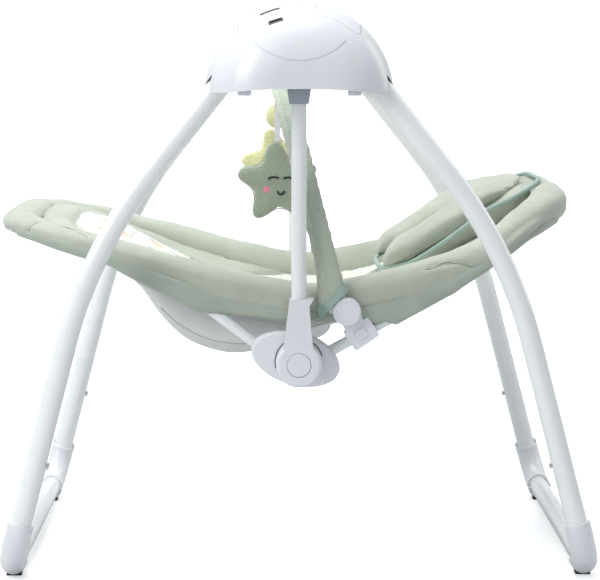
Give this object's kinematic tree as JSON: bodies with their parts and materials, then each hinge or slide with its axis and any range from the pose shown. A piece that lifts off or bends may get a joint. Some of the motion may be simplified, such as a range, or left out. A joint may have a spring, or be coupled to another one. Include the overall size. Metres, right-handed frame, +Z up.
{
  "type": "baby swing",
  "caption": "Portable side-to-side folding baby swing: curved legs under two domed drive heads, a hanging reclining padded seat, and a leaning toy arch.",
  "frame": {"origin": "on the floor, under the middle of the swing between its four feet", "axes": "+X towards the head end of the seat, +Y across the swing to the far side, +Z up"},
  "size_m": [0.6378, 0.606, 0.6065],
  "materials": {
    "white_plastic": "gloss",
    "grey_plastic": "satin",
    "dark_plastic": "matte",
    "display_plastic": "gloss",
    "white_tube": "gloss",
    "steel": "satin",
    "brass": "satin",
    "gear_plastic": "satin",
    "rubber": "matte",
    "board": "satin",
    "cell": "satin",
    "sage_fabric": "matte",
    "grey_fabric": "matte",
    "cream_fabric": "matte",
    "strap_fabric": "matte",
    "sage_plush": "matte",
    "yellow_plush": "matte"
  },
  "bodies": {
    "heads": {"near_head_outer_shell": "white_plastic", "far_head_outer_shell": "white_plastic", "near_head_inner_shell": "white_plastic", "far_head_inner_shell": "white_plastic", "control_panel": "white_plastic", "display_window": "display_plastic", "power_socket": "dark_plastic", "battery_cells": "cell", "circuit_board": "board", "speaker": "dark_plastic", "gearmotor": "steel", "swing_bushes": "brass", "leg_pivot_pins": "steel", "shell_screws": "steel"},
    "battery_lid": {"battery_lid": "white_plastic"},
    "power_key": {"power_key": "white_plastic"},
    "speed_key": {"speed_key": "white_plastic"},
    "crank_gear": {"crank_gear": "gear_plastic"},
    "motor_pinion": {"motor_pinion": "gear_plastic"},
    "front_fold_buttons": {"front_fold_buttons": "grey_plastic"},
    "rear_fold_buttons": {"rear_fold_buttons": "grey_plastic"},
    "front_legs": {"near_front_leg": "white_tube", "far_front_leg": "white_tube", "front_base_tube": "white_tube", "front_foot_caps": "white_plastic", "front_foot_pads": "rubber"},
    "rear_legs": {"near_rear_leg": "white_tube", "far_rear_leg": "white_tube", "rear_base_tube": "white_tube", "rear_foot_caps": "white_plastic", "rear_foot_pads": "rubber"},
    "front_snap_buttons": {"front_snap_buttons": "steel"},
    "rear_snap_buttons": {"rear_snap_buttons": "steel"},
    "swing": {"swing_shafts": "steel", "near_swing_arm": "white_tube", "far_swing_arm": "white_tube", "arm_collars": "grey_plastic", "near_arm_socket": "white_plastic", "far_arm_socket": "white_plastic", "drive_fork": "gear_plastic"},
    "near_recline_button": {"near_recline_button": "white_plastic"},
    "far_recline_button": {"far_recline_button": "white_plastic"},
    "seat": {"seat_hubs": "white_plastic", "front_seat_tube": "white_tube", "rear_seat_tube": "white_tube", "seat_bumper": "sage_fabric", "seat_sling": "grey_fabric", "seat_pad": "cream_fabric", "head_pillow": "sage_fabric", "harness_straps": "strap_fabric", "harness_buckle": "grey_plastic", "toy_bar_clips": "white_plastic"},
    "buckle_button": {"buckle_button": "white_plastic"},
    "toy_bar": {"toy_bar_bosses": "white_plastic", "toy_bar_core": "white_plastic", "toy_bar_sleeve": "sage_fabric"},
    "sage_star": {"sage_star_toy": "sage_plush"},
    "yellow_star": {"yellow_star_toy": "yellow_plush"},
    "ball": {"ball_toy": "yellow_plush"}
  },
  "joints": [
    {"name": "front_leg_fold", "type": "hinge", "parent": "heads", "child": "front_legs", "pos_m": [-0.072, 0, 0.533], "axis": [0, 1, 0], "range_deg": [-28, 0]},
    {"name": "rear_leg_fold", "type": "hinge", "parent": "heads", "child": "rear_legs", "pos_m": [0.072, 0, 0.533], "axis": [0, 1, 0], "range_deg": [0, 28]},
    {"name": "swing", "type": "hinge", "parent": "heads", "child": "swing", "pos_m": [0, 0, 0.556], "axis": [0, 1, 0], "range_deg": [-15, 15]},
    {"name": "seat_recline", "type": "hinge", "parent": "swing", "child": "seat", "pos_m": [0, 0, 0.229], "axis": [0, 1, 0], "range_deg": [-15, 10]},
    {"name": "near_recline_release", "type": "slide", "parent": "swing", "child": "near_recline_button", "axis": [0, 1, 0], "range_m": [0, 0.004], "stiffness_N_per_m": 600},
    {"name": "far_recline_release", "type": "slide", "parent": "swing", "child": "far_recline_button", "axis": [0, -1, 0], "range_m": [0, 0.004], "stiffness_N_per_m": 600},
    {"name": "toy_bar_tilt", "type": "hinge", "parent": "seat", "child": "toy_bar", "pos_m": [0.0507, 0, 0.2825], "axis": [0, 1, 0], "range_deg": [-20, 15]},
    {"name": "sage_star_swing", "type": "hinge", "parent": "toy_bar", "child": "sage_star", "pos_m": [-0.02221, -0.06, 0.531], "axis": [0, 1, 0], "range_deg": [-25, 25]},
    {"name": "yellow_star_swing", "type": "hinge", "parent": "toy_bar", "child": "yellow_star", "pos_m": [-0.02221, 0.06, 0.531], "axis": [0, 1, 0], "range_deg": [-25, 25]},
    {"name": "ball_swing", "type": "hinge", "parent": "toy_bar", "child": "ball", "pos_m": [-0.02221, 0, 0.531], "axis": [0, 1, 0], "range_deg": [-25, 25]},
    {"name": "crank_spin", "type": "hinge", "parent": "heads", "child": "crank_gear", "pos_m": [0, -0.254, 0.58], "axis": [0, 1, 0], "continuous": true},
    {"name": "pinion_spin", "type": "hinge", "parent": "heads", "child": "motor_pinion", "pos_m": [-0.018, -0.254, 0.58], "axis": [0, 1, 0], "continuous": true},
    {"name": "battery_lid_lift", "type": "slide", "parent": "heads", "child": "battery_lid", "axis": [0, 0, 1], "range_m": [0, 0.02]},
    {"name": "power_key_press", "type": "slide", "parent": "heads", "child": "power_key", "axis": [0.2079, 0, -0.9781], "range_m": [0, 0.0012], "stiffness_N_per_m": 900},
    {"name": "speed_key_press", "type": "slide", "parent": "heads", "child": "speed_key", "axis": [0.4695, 0, -0.8829], "range_m": [0, 0.0012], "stiffness_N_per_m": 900},
    {"name": "front_fold_release", "type": "slide", "parent": "heads", "child": "front_fold_buttons", "axis": [0, 0, 1], "range_m": [0, 0.003], "stiffness_N_per_m": 600},
    {"name": "rear_fold_release", "type": "slide", "parent": "heads", "child": "rear_fold_buttons", "axis": [0, 0, 1], "range_m": [0, 0.003], "stiffness_N_per_m": 600},
    {"name": "front_snap_release", "type": "slide", "parent": "front_legs", "child": "front_snap_buttons", "axis": [-0.9677, 0, 0.2521], "range_m": [0, 0.003], "stiffness_N_per_m": 600},
    {"name": "rear_snap_release", "type": "slide", "parent": "rear_legs", "child": "rear_snap_buttons", "axis": [0.9677, 0, 0.2521], "range_m": [0, 0.003], "stiffness_N_per_m": 600},
    {"name": "buckle_press", "type": "slide", "parent": "seat", "child": "buckle_button", "axis": [0, 0, -1], "range_m": [0, 0.0015], "stiffness_N_per_m": 600}
  ],
  "couplings": [
    {"joint": "pinion_spin", "follows": "crank_spin", "ratio": -2.6}
  ]
}
